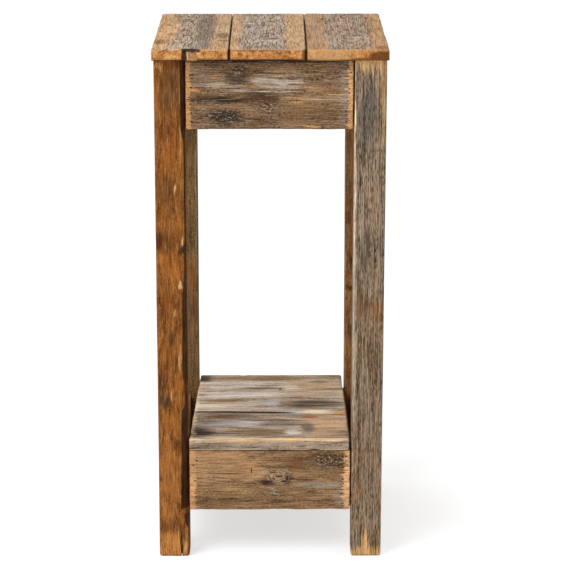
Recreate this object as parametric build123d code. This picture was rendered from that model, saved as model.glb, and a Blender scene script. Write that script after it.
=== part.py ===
from build123d import *
import os

# A small rustic table of reclaimed boards: four square legs, an upper and a lower ring of aprons,
# a top of three boards and a low shelf of two. Millimetres, +Z up, front towards -Y.
# The origin is on the floor, under the middle of the top.

# The whole table
table_height = 762.0
frame_width = 331.8  # over the outer faces of the legs
frame_depth = 344.0

# Top boards, which run front to back
top_thickness = 16.5
top_side_overhang = 2.6
top_end_overhang = 12.0
left_board_front_width = 109.7
left_board_back_width = 109.1
middle_board_front_width = 107.0
middle_board_back_width = 110.9
top_front_gap = 1.5  # between the boards
top_back_gap = 0.4
top_edge_radius = 2.6

# Legs: sawn from four unlike pieces of stock
leg_depth = 46.0
front_left_leg_width = 44.9
rear_left_leg_width = 51.6
front_right_leg_width = 46.2
front_right_foot_width = 45.1
rear_right_leg_width = 50.0
front_right_leg_lean = 3.0  # the foot stands this much further in than the head
leg_edge_radius = 1.6
foot_edge_radius = 3.0

# Aprons, set between the legs
apron_thickness = 18.0
apron_recess = 2.0  # behind the outer faces of the legs
apron_edge_chamfer = 0.7
upper_apron_height = 101.3
lower_apron_height = 92.6
apron_left_gap = 0.5
apron_right_gap = 1.6
side_apron_end_gap = 0.5

# Shelf boards, which run left to right between the legs
shelf_top_height = 182.0
shelf_thickness = 17.0
shelf_front_setback = 1.0
shelf_rear_setback = 2.0
shelf_left_gap = 0.4
shelf_right_gap = 3.3
shelf_front_board_left_depth = 140.0
shelf_front_board_right_depth = 128.6
shelf_board_gap = 1.6
shelf_nose_radius = 3.0
shelf_edge_chamfer = 0.8

# Hidden cleats and shelf bearers
cleat_width = 18.0
cleat_depth = 18.0
cleat_clear_of_edge = 4.0
bearer_thickness = 18.0
bearer_leg_gap = 0.1

# Finish nails: rectangular wire with a small flat head, set below the surface
nail_head_length = 2.6
nail_head_width = 1.7
nail_head_thickness = 0.7
nail_shank_length = 1.6
nail_shank_width = 1.4
nail_set_depth = 0.4
nail_hole_clearance = 0.05
nail_tip_clearance = 0.3
apron_nail_reach = 28.0
cleat_nail_reach = 30.0
top_nail_reach = 42.0
shelf_nail_reach = 32.0
nail_row_inset = 8.0
nail_row_end_margin = 14.0
nail_row_count = 3
cleat_nail_setback = 13.5
cross_nail_shares = (0.3, 0.7)  # of the apron's height, for nails that run sideways into a leg
lengthwise_nail_shares = (0.18, 0.82)  # and for those that run forwards or backwards, which pass them
top_nail_end_setback = 23.0
top_nail_edge_margin = 19.0
shelf_nail_end_margin = 9.0
shelf_nail_edge_margin = 34.0  # from the seam between the boards
shelf_nail_setback = 42.0  # from the shelf's front and rear edges

# Hand-driven rows in the front aprons: (distance from the apron's end, height above its lower edge)
upper_left_row = ((6.8, 77.9), (7.6, 60.8), (4.9, 47.0), (6.2, 37.1), (7.9, 24.1), (8.6, 11.5))
upper_right_row = ((3.2, 81.8), (5.9, 58.6), (5.6, 52.2), (7.6, 41.4), (10.5, 26.1), (10.0, 11.5))
lower_left_row = ((11.1, 76.7), (5.6, 69.5), (8.2, 45.2), (8.2, 26.2), (8.8, 20.9))
lower_right_row = (
    (6.1, 82.8),
    (10.4, 65.5),
    (9.1, 57.5),
    (10.5, 47.4),
    (9.7, 40.3),
    (13.1, 25.4),
    (10.5, 10.1),
)

# Wane, the untrimmed bark edge on the front left leg: (share of the leg's height, width on the front face)
wane_widths = (
    (0.0, 0.6),
    (0.060, 0.6),
    (0.072, 5.5),
    (0.091, 6.5),
    (0.100, 12.0),
    (0.128, 11.4),
    (0.222, 10.0),
    (0.303, 9.5),
    (0.316, 4.2),
    (0.352, 4.0),
    (0.372, 7.5),
    (0.540, 7.0),
    (0.558, 4.2),
    (0.619, 3.2),
    (0.627, 6.4),
    (0.641, 3.0),
    (0.842, 2.8),
    (0.862, 6.8),
    (1.0, 7.4),
)
wane_depth_share = 1.15  # depth on the side face against width on the front face
cutter_overlap = 1.0  # how far a cutter passes the face that it opens

# Split in the front left foot
split_height = 49.0
split_foot_inset = 11.5  # from the leg's inner face, at the floor
split_top_inset = 16.2
split_width = 1.8
split_depth = 14.0

# Bark pocket in the front end of the left top board
pocket_inset = 53.0  # from the board's outer edge
pocket_radius = 10.0
pocket_depth = 3.0
pocket_step = 8.5  # a second, shallower scoop beside it
pocket_step_depth = 1.4

# Check in the rear shelf board, from its right end to a knot
check_width = 2.0
check_depth = 7.0
check_end_distance = 98.0  # from the board's rear edge, at the right end
check_knot_distance = 66.0
check_length = 96.0
check_bend_share = 0.55

# Square holes of old cut nails in the right top board: (from its outer edge, from its rear end)
old_hole_width = 2.4
old_hole_depth = 9.0
old_holes = ((23.8, 50.6), (19.2, 46.0), (13.4, 72.0), (90.0, 61.0), (93.0, 86.0))

# Places that follow from the sizes
side_sign = {"left": -1, "right": 1}
row_sign = {"front": -1, "rear": 1}
half_width = frame_width / 2
half_depth = frame_depth / 2
top_underside = table_height - top_thickness
top_half_width = half_width + top_side_overhang
top_half_depth = half_depth + top_end_overhang
shelf_underside = shelf_top_height - shelf_thickness
between_legs = half_depth - leg_depth  # from the middle to the legs' inward faces, along Y
apron_outer_y = half_depth - apron_recess
apron_inner_y = apron_outer_y - apron_thickness
apron_spans = {
    "upper": (top_underside - upper_apron_height, top_underside),
    "lower": (shelf_underside - lower_apron_height, shelf_underside),
}
leg_head_width = {
    "front_left": front_left_leg_width,
    "front_right": front_right_leg_width,
    "rear_left": rear_left_leg_width,
    "rear_right": rear_right_leg_width,
}
leg_foot_width = {**leg_head_width, "front_right": front_right_foot_width}
leg_lean = {"front_right": front_right_leg_lean}


def outer_x(row, side, z):
    # Outer face of a leg at height z
    lean = leg_lean.get(f"{row}_{side}", 0.0)
    return side_sign[side] * (half_width - lean * (1 - z / top_underside))


def inner_x(row, side, z):
    # Inner face of a leg at height z
    corner = f"{row}_{side}"
    foot = leg_foot_width[corner]
    width = foot + (leg_head_width[corner] - foot) * z / top_underside
    return outer_x(row, side, z) - side_sign[side] * width


def inner_face(row, side, span):
    # The innermost point of a leg's inner face over a span of heights
    ends = [abs(inner_x(row, side, z)) for z in span]
    return side_sign[side] * min(ends)


def side_apron_outer(side, level):
    # A side apron stands behind whichever of its two legs is further in
    legs = [abs(outer_x(row, side, apron_spans[level][0])) for row in row_sign]
    return side_sign[side] * (min(legs) - apron_recess)


def flat_board(outline, low, thickness):
    # A board from its outline in plan
    return extrude(Pos(0, 0, low) * make_face(Polyline(*outline, close=True)), thickness)


def upright_board(outline, near, depth):
    # A board from its outline as seen from the front, with its near face at Y = near
    face = Plane((0, near, 0), x_dir=(1, 0, 0), z_dir=(0, -1, 0)) * make_face(Polyline(*outline, close=True))
    return extrude(face, amount=-depth)


def block(x_ends, y_ends, z_ends):
    # A plain square-cut stick between pairs of faces
    lows = [min(ends) for ends in (x_ends, y_ends, z_ends)]
    sizes = [abs(ends[1] - ends[0]) for ends in (x_ends, y_ends, z_ends)]
    return Pos(*lows) * Box(*sizes, align=Align.MIN)


# Nails. Each place is a plane on the wood's surface with its Z axis pointing into the wood.


def nail(place, reach):
    head = Pos(0, 0, nail_set_depth) * Box(
        nail_head_length,
        nail_head_width,
        nail_head_thickness,
        align=(Align.CENTER, Align.CENTER, Align.MIN),
    )
    shank = Pos(0, 0, nail_set_depth) * Box(
        nail_shank_length,
        nail_shank_width,
        reach - nail_set_depth,
        align=(Align.CENTER, Align.CENTER, Align.MIN),
    )
    return place * (head + shank)


def nail_hole(place, reach):
    seat = nail_set_depth + nail_head_thickness
    spare = 2 * nail_hole_clearance
    pocket = Pos(0, 0, seat) * Box(
        nail_head_length + spare,
        nail_head_width + spare,
        2 * seat,
        align=(Align.CENTER, Align.CENTER, Align.MAX),
    )
    bore = Box(
        nail_shank_length + spare,
        nail_shank_width + spare,
        reach + nail_tip_clearance,
        align=(Align.CENTER, Align.CENTER, Align.MIN),
    )
    return place * (pocket + bore)


def down_at(x, y, z, grain):
    return Plane((x, y, z), x_dir=grain, z_dir=(0, 0, -1))


def even_heights(level):
    low, high = apron_spans[level]
    step = (high - low - 2 * nail_row_end_margin) / (nail_row_count - 1)
    return [low + nail_row_end_margin + step * i for i in range(nail_row_count)]


def front_apron_nails(level, left_row, right_row):
    low = apron_spans[level][0]
    left_end = inner_x("front", "left", low) + apron_left_gap
    right_end = inner_x("front", "right", low) - apron_right_gap
    spots = [(left_end + inset, low + height) for inset, height in left_row]
    spots += [(right_end - inset, low + height) for inset, height in right_row]
    return [Plane((x, -apron_outer_y, z), x_dir=(1, 0, 0), z_dir=(0, 1, 0)) for x, z in spots]


def rear_apron_nails(level):
    low = apron_spans[level][0]
    columns = (
        inner_x("rear", "left", low) + apron_left_gap + nail_row_inset,
        inner_x("rear", "right", low) - apron_right_gap - nail_row_inset,
    )
    heights = even_heights(level)
    return [
        Plane((x, apron_outer_y, z), x_dir=(1, 0, 0), z_dir=(0, -1, 0)) for x in columns for z in heights
    ]


def side_apron_nails(side, level):
    into_wood = (-side_sign[side], 0, 0)
    face = side_apron_outer(side, level)
    column = between_legs - side_apron_end_gap - nail_row_inset
    heights = even_heights(level)
    return [
        Plane((face, y, z), x_dir=(0, 1, 0), z_dir=into_wood) for y in (-column, column) for z in heights
    ]


def cleat_nails_to_side(row, side, level):
    # Through the cleat behind a front or rear apron, sideways into the leg
    low, high = apron_spans[level]
    x = inner_face(row, side, (low, high)) - side_sign[side] * cleat_width
    y = row_sign[row] * (apron_inner_y - cleat_nail_setback)
    heights = [low + (high - low) * share for share in cross_nail_shares]
    return [Plane((x, y, z), x_dir=(0, 0, 1), z_dir=(side_sign[side], 0, 0)) for z in heights]


def cleat_nails_to_row(row, side, level):
    # Through the cleat behind a side apron, forwards or backwards into the leg
    low, high = apron_spans[level]
    inward = side_sign[side] * (apron_thickness + cleat_nail_setback)
    x = side_apron_outer(side, level) - inward
    y = row_sign[row] * (between_legs - cleat_depth)
    heights = [low + (high - low) * share for share in lengthwise_nail_shares]
    return [Plane((x, y, z), x_dir=(0, 0, 1), z_dir=(0, row_sign[row], 0)) for z in heights]


def bearer_nails(side):
    # Through each end of a shelf bearer into the legs
    low, high = apron_spans["lower"]
    places = []
    for row in row_sign:
        y = row_sign[row] * (apron_inner_y - cleat_nail_setback)
        x = bearer_outer_x(side, y) - side_sign[side] * bearer_thickness
        for share in cross_nail_shares:
            z = low + (high - low) * share
            places.append(Plane((x, y, z), x_dir=(0, 0, 1), z_dir=(side_sign[side], 0, 0)))
    return places


def top_board_nails(front_edges, back_edges):
    places = []
    for row, edges in (("front", front_edges), ("rear", back_edges)):
        y = row_sign[row] * (top_half_depth - top_nail_end_setback)
        for x in (edges[0] + top_nail_edge_margin, edges[1] - top_nail_edge_margin):
            places.append(down_at(x, y, table_height, (0, 1, 0)))
    return places


def shelf_nails(rows):
    # Down through the shelf's ends into the bearers
    places = []
    for y in rows:
        for side in side_sign:
            x = shelf_end_x(side, y) - side_sign[side] * shelf_nail_end_margin
            places.append(down_at(x, y, shelf_top_height, (1, 0, 0)))
    return places


# Wooden pieces


def leg(row, side):
    outline = [
        (outer_x(row, side, 0), 0),
        (inner_x(row, side, 0), 0),
        (inner_x(row, side, top_underside), top_underside),
        (outer_x(row, side, top_underside), top_underside),
    ]
    near = -half_depth if row == "front" else between_legs
    post = upright_board(outline, near, leg_depth)
    long_edges = post.edges().filter_by(lambda edge: edge.length > top_underside / 2)
    post = fillet(long_edges, leg_edge_radius)
    foot = post.faces().sort_by(Axis.Z)[0]
    return fillet(foot.edges(), foot_edge_radius)


def wane(x, y):
    # Cutter for an untrimmed edge at a leg's corner (x, y): triangles whose long side is the bark surface
    sections = []
    for share, width in wane_widths:
        depth = width * wane_depth_share
        corner = (x + width / 2, y - depth / 2)
        on_front = (x - width * 3 / 2, y - depth / 2)
        on_side = (x + width / 2, y + depth * 3 / 2)
        triangle = make_face(Polyline(corner, on_front, on_side, close=True))
        height = share * (top_underside + 2 * cutter_overlap) - cutter_overlap
        sections.append(Pos(0, 0, height) * triangle)
    return loft(sections, ruled=True)


def front_left_leg():
    edge = inner_x("front", "left", 0)
    post = leg("front", "left") - wane(edge, -half_depth)
    split_outline = [
        (edge - split_foot_inset - split_width / 2, -cutter_overlap),
        (edge - split_foot_inset + split_width / 2, -cutter_overlap),
        (edge - split_top_inset, split_height),
    ]
    return post - upright_board(split_outline, -half_depth - cutter_overlap, split_depth + cutter_overlap)


def cross_apron(row, level):
    # Front and rear aprons end against the inner faces of two legs, which may lean
    low, high = apron_spans[level]
    outline = [
        (inner_x(row, "left", low) + apron_left_gap, low),
        (inner_x(row, "right", low) - apron_right_gap, low),
        (inner_x(row, "right", high) - apron_right_gap, high),
        (inner_x(row, "left", high) + apron_left_gap, high),
    ]
    near = -apron_outer_y if row == "front" else apron_inner_y
    board = upright_board(outline, near, apron_thickness)
    return chamfer(board.edges(), apron_edge_chamfer)


def side_apron(side, level):
    face = side_apron_outer(side, level)
    back = face - side_sign[side] * apron_thickness
    reach = between_legs - side_apron_end_gap
    board = block((face, back), (-reach, reach), apron_spans[level])
    return chamfer(board.edges(), apron_edge_chamfer)


def cross_cleat(row, side, level):
    # Stands on a leg's inner face, behind the end of a front or rear apron
    low, high = apron_spans[level]
    x = inner_face(row, side, (low, high))
    y = row_sign[row] * apron_inner_y
    return block(
        (x, x - side_sign[side] * cleat_width),
        (y, y - row_sign[row] * cleat_depth),
        (low + cleat_clear_of_edge, high - cleat_clear_of_edge),
    )


def side_cleat(row, side, level):
    # Stands on a leg's inward face, behind the end of a side apron
    low, high = apron_spans[level]
    x = side_apron_outer(side, level) - side_sign[side] * apron_thickness
    y = row_sign[row] * between_legs
    return block(
        (x, x - side_sign[side] * cleat_width),
        (y, y - row_sign[row] * cleat_depth),
        (low + cleat_clear_of_edge, high - cleat_clear_of_edge),
    )


def line_past_legs(side, y, span, reach):
    # A straight edge from -reach to reach that touches the front and the rear leg, which aren't in line
    near, far = inner_face("front", side, span), inner_face("rear", side, span)
    near_y, far_y = -reach, reach
    if abs(near) > abs(far):
        far_y = between_legs
    else:
        near_y = -between_legs
    return near + (far - near) * (y - near_y) / (far_y - near_y)


def bearer_outer_x(side, y):
    line = line_past_legs(side, y, apron_spans["lower"], apron_inner_y)
    return line - side_sign[side] * bearer_leg_gap


def shelf_bearer(side):
    low, high = apron_spans["lower"]
    ends = [(bearer_outer_x(side, y), y) for y in (-apron_inner_y, apron_inner_y)]
    inward = side_sign[side] * bearer_thickness
    outline = ends + [(x - inward, y) for x, y in reversed(ends)]
    return flat_board(outline, low, high - low)


def shelf_end_x(side, y):
    gap = shelf_left_gap if side == "left" else shelf_right_gap
    line = line_past_legs(side, y, (shelf_underside, shelf_top_height), half_depth)
    return line - side_sign[side] * gap


def shelf_board(near_left, near_right, far_left, far_right):
    corners = [("left", near_left), ("right", near_right), ("right", far_right), ("left", far_left)]
    outline = [(shelf_end_x(side, y), y) for side, y in corners]
    return flat_board(outline, shelf_underside, shelf_thickness)


def shelf_front_board():
    front = -half_depth + shelf_front_setback
    seam_left = front + shelf_front_board_left_depth
    seam_right = front + shelf_front_board_right_depth
    board = shelf_board(front, front, seam_left, seam_right)
    upper_front = board.edges().filter_by(Axis.X).sort_by(lambda edge: edge.center().Z - edge.center().Y)
    board = fillet(upper_front[-1], shelf_nose_radius)
    behind_nose = front + 2 * shelf_nose_radius
    upper = board.edges().group_by(Axis.Z)[-1].filter_by(lambda edge: edge.center().Y > behind_nose)
    return chamfer(upper, shelf_edge_chamfer)


def shelf_rear_board():
    front = -half_depth + shelf_front_setback
    near_left = front + shelf_front_board_left_depth + shelf_board_gap
    near_right = front + shelf_front_board_right_depth + shelf_board_gap
    rear = half_depth - shelf_rear_setback
    board = shelf_board(near_left, near_right, rear, rear)
    board = chamfer(board.edges().group_by(Axis.Z)[-1], shelf_edge_chamfer)
    end = shelf_end_x("right", rear - check_end_distance)
    bend = (end - check_length * check_bend_share, rear - check_end_distance + check_width)
    knot = (end - check_length, rear - check_knot_distance)
    outline = [
        (end + cutter_overlap, rear - check_end_distance - check_width / 2),
        (bend[0], bend[1] - check_width / 4),
        knot,
        (bend[0], bend[1] + check_width / 4),
        (end + cutter_overlap, rear - check_end_distance + check_width / 2),
    ]
    return board - flat_board(outline, shelf_top_height - check_depth, check_depth + cutter_overlap)


def top_edges():
    # Left and right edge of each top board, at the front and at the back
    boards = {}
    for end, left_width, middle_width, gap in (
        ("front", left_board_front_width, middle_board_front_width, top_front_gap),
        ("back", left_board_back_width, middle_board_back_width, top_back_gap),
    ):
        left = (-top_half_width, -top_half_width + left_width)
        middle = (left[1] + gap, left[1] + gap + middle_width)
        right = (middle[1] + gap, top_half_width)
        for name, edges in (("left", left), ("middle", middle), ("right", right)):
            boards.setdefault(name, {})[end] = edges
    return boards


def top_board(edges):
    outline = [
        (edges["front"][0], -top_half_depth),
        (edges["front"][1], -top_half_depth),
        (edges["back"][1], top_half_depth),
        (edges["back"][0], top_half_depth),
    ]
    board = flat_board(outline, top_underside, top_thickness)
    corners = board.edges().filter_by(Axis.Z)
    board = fillet(corners, top_edge_radius)
    upper = board.edges().group_by(Axis.Z)[-1]
    return fillet(upper, top_edge_radius)


def bark_pocket(outer_edge):
    # Two upright scoops into the board's front end
    scoops = []
    for step, depth in ((0.0, pocket_depth), (pocket_step, pocket_step_depth)):
        x = outer_edge + pocket_inset + step
        y = -top_half_depth + depth - pocket_radius
        scoop = Cylinder(pocket_radius, 2 * table_height)
        scoops.append(Pos(x, y, 0) * scoop)
    return scoops


def old_nail_holes(outer_edge):
    return [
        Pos(outer_edge - from_edge, top_half_depth - from_end, table_height)
        * Box(old_hole_width, old_hole_width, 2 * old_hole_depth)
        for from_edge, from_end in old_holes
    ]


# The table, node by node
parts = {"front_left_leg": front_left_leg()}
for row, side in (("front", "right"), ("rear", "left"), ("rear", "right")):
    parts[f"{row}_{side}_leg"] = leg(row, side)
for level in apron_spans:
    for row in row_sign:
        parts[f"{level}_{row}_apron"] = cross_apron(row, level)
    for side in side_sign:
        parts[f"{level}_{side}_apron"] = side_apron(side, level)
        for row in row_sign:
            parts[f"{level}_{side}_cleat_{row}"] = side_cleat(row, side, level)
for side in side_sign:
    parts[f"shelf_bearer_{side}"] = shelf_bearer(side)
    for row in row_sign:
        parts[f"upper_{row}_cleat_{side}"] = cross_cleat(row, side, "upper")
parts["shelf_board_front"] = shelf_front_board()
parts["shelf_board_rear"] = shelf_rear_board()
board_edges = top_edges()
for name, edges in board_edges.items():
    parts[f"top_board_{name}"] = top_board(edges)
parts["top_board_left"] -= bark_pocket(-top_half_width)
parts["top_board_right"] -= old_nail_holes(top_half_width)


def fasten(node, places, reach, pieces):
    # Drive a group of nails: bore each piece that they pass through and keep the nails as one node
    holes = [nail_hole(place, reach) for place in places]
    for piece in pieces:
        parts[piece] -= holes
    parts[node] = Compound([nail(place, reach) for place in places])


legs_of = {
    "left": ["front_left_leg", "rear_left_leg"],
    "right": ["front_right_leg", "rear_right_leg"],
}
bearers = ["shelf_bearer_left", "shelf_bearer_right"]
fasten(
    "upper_front_apron_nails",
    front_apron_nails("upper", upper_left_row, upper_right_row),
    apron_nail_reach,
    ["upper_front_apron", "upper_front_cleat_left", "upper_front_cleat_right"],
)
fasten(
    "lower_front_apron_nails",
    front_apron_nails("lower", lower_left_row, lower_right_row),
    apron_nail_reach,
    ["lower_front_apron"] + bearers,
)
fasten(
    "upper_rear_apron_nails",
    rear_apron_nails("upper"),
    apron_nail_reach,
    ["upper_rear_apron", "upper_rear_cleat_left", "upper_rear_cleat_right"],
)
fasten(
    "lower_rear_apron_nails",
    rear_apron_nails("lower"),
    apron_nail_reach,
    ["lower_rear_apron"] + bearers,
)
for level in apron_spans:
    for side in side_sign:
        side_cleats = [f"{level}_{side}_cleat_{row}" for row in row_sign]
        fasten(
            f"{level}_{side}_apron_nails",
            side_apron_nails(side, level),
            apron_nail_reach,
            [f"{level}_{side}_apron"] + side_cleats,
        )
        leg_places = [place for row in row_sign for place in cleat_nails_to_row(row, side, level)]
        fasten(
            f"{level}_{side}_cleat_nails",
            leg_places,
            cleat_nail_reach,
            side_cleats + legs_of[side],
        )
for side in side_sign:
    cross_places = [place for row in row_sign for place in cleat_nails_to_side(row, side, "upper")]
    cross_cleats = [f"upper_{row}_cleat_{side}" for row in row_sign]
    fasten(f"upper_cross_cleat_nails_{side}", cross_places, cleat_nail_reach, cross_cleats + legs_of[side])
    fasten(
        f"shelf_bearer_nails_{side}",
        bearer_nails(side),
        cleat_nail_reach,
        [f"shelf_bearer_{side}"] + legs_of[side],
    )
under_top = {
    "left": ["upper_front_apron", "upper_rear_apron"] + legs_of["left"],
    "middle": ["upper_front_apron", "upper_rear_apron"],
    "right": ["upper_front_apron", "upper_rear_apron"] + legs_of["right"],
}
for name, edges in board_edges.items():
    fasten(
        f"top_board_{name}_nails",
        top_board_nails(edges["front"], edges["back"]),
        top_nail_reach,
        [f"top_board_{name}"] + under_top[name],
    )
shelf_front = -half_depth + shelf_front_setback
seam_nearest = min(shelf_front_board_left_depth, shelf_front_board_right_depth)
seam_furthest = max(shelf_front_board_left_depth, shelf_front_board_right_depth) + shelf_board_gap
fasten(
    "shelf_board_front_nails",
    shelf_nails((shelf_front + shelf_nail_setback, shelf_front + seam_nearest - shelf_nail_edge_margin)),
    shelf_nail_reach,
    ["shelf_board_front"] + bearers,
)
fasten(
    "shelf_board_rear_nails",
    shelf_nails(
        (
            shelf_front + seam_furthest + shelf_nail_edge_margin,
            half_depth - shelf_rear_setback - shelf_nail_setback,
        )
    ),
    shelf_nail_reach,
    ["shelf_board_rear"] + bearers,
)

os.makedirs("parts", exist_ok=True)
for node, shape in parts.items():
    export_step(shape, f"parts/{node}.step")
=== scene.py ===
import math
from functools import partial
from types import SimpleNamespace

import bmesh
import bpy
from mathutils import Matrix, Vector, noise


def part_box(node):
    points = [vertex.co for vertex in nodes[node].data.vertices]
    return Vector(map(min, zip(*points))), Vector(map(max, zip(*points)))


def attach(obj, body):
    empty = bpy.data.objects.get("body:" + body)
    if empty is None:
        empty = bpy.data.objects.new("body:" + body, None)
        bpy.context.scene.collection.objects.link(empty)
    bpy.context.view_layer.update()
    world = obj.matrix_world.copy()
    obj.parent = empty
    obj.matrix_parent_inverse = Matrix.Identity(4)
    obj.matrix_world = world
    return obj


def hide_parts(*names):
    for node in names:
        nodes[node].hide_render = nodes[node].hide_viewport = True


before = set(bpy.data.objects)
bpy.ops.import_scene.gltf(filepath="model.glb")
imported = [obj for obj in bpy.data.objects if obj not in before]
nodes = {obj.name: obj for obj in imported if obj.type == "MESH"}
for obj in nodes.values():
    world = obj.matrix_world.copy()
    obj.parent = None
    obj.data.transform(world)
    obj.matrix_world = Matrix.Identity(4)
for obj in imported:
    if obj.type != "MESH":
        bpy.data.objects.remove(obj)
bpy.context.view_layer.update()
scene = bpy.context.scene
print("frame loaded:", len(nodes), "pieces")


# Worn boards: each visible board is cut finely and its arrises are rubbed down unevenly

wear = {
    "reach": 4.5,  # mm from an arris that wear reaches
    "rub": 1.3,  # mm taken off an arris where it is most worn
    "rubSize": (38, 14),  # mm, length and width of a worn stretch
    "chip": 2.0,  # mm more where it is chipped
    "chipSize": (13, 7),  # mm
    "chipLevel": 0.68,  # noise above which an arris is chipped
    "bow": 0.4,  # mm of unevenness in the faces
    "bowSize": (120, 45),  # mm
    "bowReach": 4.0,  # mm below a face that its unevenness reaches
    "sheltered": 0.08,  # share of the wear where another board shelters the arris
    "barkReach": 17.0,  # mm from the leg's corner that the bark reaches
    "barkDepth": 1.4,  # mm of roughness in it
    "barkScales": ((30, 5, 0.6), (9, 4, 0.4)),  # mm long and wide, and share of the depth
    "cleanFoot": 4.0,  # mm of a foot without bark
    "barkFacing": 0.86,  # least cosine between the diagonal and a face with bark
    "squareOn": 0.99,  # and between an axis and a side that looks along it
    "nearCuts": (0.7, 1.7, 3.0, 4.6),  # mm from each side
    "steps": (5.0, 7.0),  # mm between cuts along and across the grain
    "merge": 1e-6,  # m between points that count as one
    "flatAngle": 0.4,  # degrees between faces that count as one
    "sharpAngle": 38.0,  # degrees between faces that meet at an edge rather than a curve
    "apart": (0.37, 0.19, 0.23),  # m from one board's noise to the next one's
}


def sidePlanes(bm):
    # The largest flat face towards -x, +x, -y, +y, -z and +z, as (normal, distance)
    planes = []
    for axis in range(3):
        for sign in (-1, 1):
            facing = [face for face in bm.faces if sign * face.normal[axis] > wear["squareOn"]]
            largest = max(facing, key=lambda face: face.calc_area())
            normal = largest.normal.copy()
            planes.append((normal, normal.dot(largest.verts[0].co)))
    return planes


def cutAcross(bm, normal, distances):
    for distance in distances:
        everything = bm.verts[:] + bm.edges[:] + bm.faces[:]
        cut = normal * distance
        bmesh.ops.bisect_plane(bm, geom=everything, dist=wear["merge"], plane_co=cut, plane_no=normal)


def cutGrid(bm, planes, grain):
    near = [mm / 1000 for mm in wear["nearCuts"]]
    for axis in range(3):
        for normal, distance in planes[2 * axis : 2 * axis + 2]:
            cutAcross(bm, normal, [distance - gap for gap in near])
        step = wear["steps"][0 if axis == grain else 1] / 1000
        straight = Vector([float(index == axis) for index in range(3)])
        low = min(vert.co[axis] for vert in bm.verts) + near[-1]
        high = max(vert.co[axis] for vert in bm.verts) - near[-1]
        count = max(1, round((high - low) / step))
        cutAcross(bm, straight, [low + (high - low) * index / count for index in range(1, count)])


def woodNoise(place, grain, along, across):
    # Noise from 0 to 1, so many millimetres long along the grain and across it
    scaled = [1000 * place[axis] / (along if axis == grain else across) for axis in range(3)]
    return noise.noise(Vector(scaled)) * 0.5 + 0.5


def wornPlace(place, planes, grain, offset, sheltered):
    # Where a point of the board ends up once its arrises are rubbed, which is never outside it
    gaps = [distance - normal.dot(place) for normal, distance in planes]
    weights = [max(0.0, 1 - 1000 * gap / wear["reach"]) for gap in gaps]
    rub = wear["rub"] * woodNoise(place + offset, grain, *wear["rubSize"]) ** 2
    chipped = max(0.0, woodNoise(place - offset, grain, *wear["chipSize"]) - wear["chipLevel"])
    rub += wear["chip"] * chipped / (1 - wear["chipLevel"])
    move = Vector((0, 0, 0))
    for first in range(6):
        for second in range(first + 1, 6):
            both = weights[first] * weights[second]
            if first in sheltered or second in sheltered:
                both *= wear["sheltered"]
            move -= (planes[first][0] + planes[second][0]) * both * rub
    bow = wear["bow"] * woodNoise(place + 2 * offset, grain, *wear["bowSize"])
    for index, (normal, distance) in enumerate(planes):
        if index // 2 != grain and index not in sheltered:
            move -= normal * max(0.0, 1 - 1000 * gaps[index] / wear["bowReach"]) * bow
    return place + move / 1000


def roughenBark(bm, corner, grain):
    # The bark edge along corner (x, y): faces near it that look diagonally outwards
    layer = bm.loops.layers.float.new("bark")
    outwards = Vector((1, -1, 0)).normalized()
    barkVerts = set()
    for face in bm.faces:
        centre = face.calc_center_median()
        near = 1000 * math.hypot(centre.x - corner[0], centre.y - corner[1]) < wear["barkReach"]
        if near and face.normal.dot(outwards) > wear["barkFacing"]:
            for loop in face.loops:
                loop[layer] = 1.0
            barkVerts.update(face.verts)
    for vert in barkVerts:
        if 1000 * vert.co.z > wear["cleanFoot"]:
            scales = wear["barkScales"]
            rough = sum(share * woodNoise(vert.co, grain, long, wide) for long, wide, share in scales)
            vert.co -= outwards * rough * wear["barkDepth"] / 1000


def wornPiece(node, seed, board, material):
    grain = board["grain"]
    bm = bmesh.new()
    bm.from_mesh(nodes[node].data)
    bmesh.ops.remove_doubles(bm, verts=bm.verts[:], dist=wear["merge"])
    flat = math.radians(wear["flatAngle"])
    bmesh.ops.dissolve_limit(bm, angle_limit=flat, verts=bm.verts[:], edges=bm.edges[:])
    planes = sidePlanes(bm)
    cutGrid(bm, planes, grain)
    if "barkCorner" in board:
        roughenBark(bm, board["barkCorner"], grain)
    arris = bm.verts.layers.float.new("arris")
    endGap = bm.verts.layers.float.new("endGap")
    offset = Vector(wear["apart"]) * seed
    for vert in bm.verts:
        gaps = [distance - normal.dot(vert.co) for normal, distance in planes]
        nearest = sorted(gaps)
        vert[arris] = 1000 * math.hypot(nearest[0], nearest[1])
        vert[endGap] = 1000 * min(gaps[2 * grain : 2 * grain + 2])
        vert.co = wornPlace(vert.co, planes, grain, offset, board.get("sheltered", ()))
    mesh = bpy.data.meshes.new(node + "_worn")
    bm.to_mesh(mesh)
    bm.free()
    mesh.shade_smooth()
    mesh.set_sharp_from_angle(angle=math.radians(wear["sharpAngle"]))
    mesh.materials.append(material)
    piece = bpy.data.objects.new(node + "_worn", mesh)
    scene.collection.objects.link(piece)
    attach(piece, "root")
    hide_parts(node)


# Finishes


def toLinear(hexColour):
    # sRGB hex to linear colour
    parts = [int(hexColour[start : start + 2], 16) / 255 for start in (1, 3, 5)]
    linear = [part / 12.92 if part <= 0.04045 else ((part + 0.055) / 1.055) ** 2.4 for part in parts]
    return linear + [1.0]


def addNode(tree, kind, *inputs, **settings):
    # Adds a node. Its inputs are filled or linked in order, or by name or number from a dictionary
    made = tree.nodes.new("ShaderNode" + kind)
    for name, value in settings.items():
        setattr(made, name, value)
    given = inputs[0] if inputs and isinstance(inputs[0], dict) else dict(enumerate(inputs))
    for name, value in given.items():
        if isinstance(value, bpy.types.Node):
            value = next(socket for socket in value.outputs if socket.enabled)
        if isinstance(value, bpy.types.NodeSocket):
            tree.links.new(value, made.inputs[name])
        elif isinstance(value, str):
            made.inputs[name].default_value = toLinear(value)
        else:
            made.inputs[name].default_value = value
    return made


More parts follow.
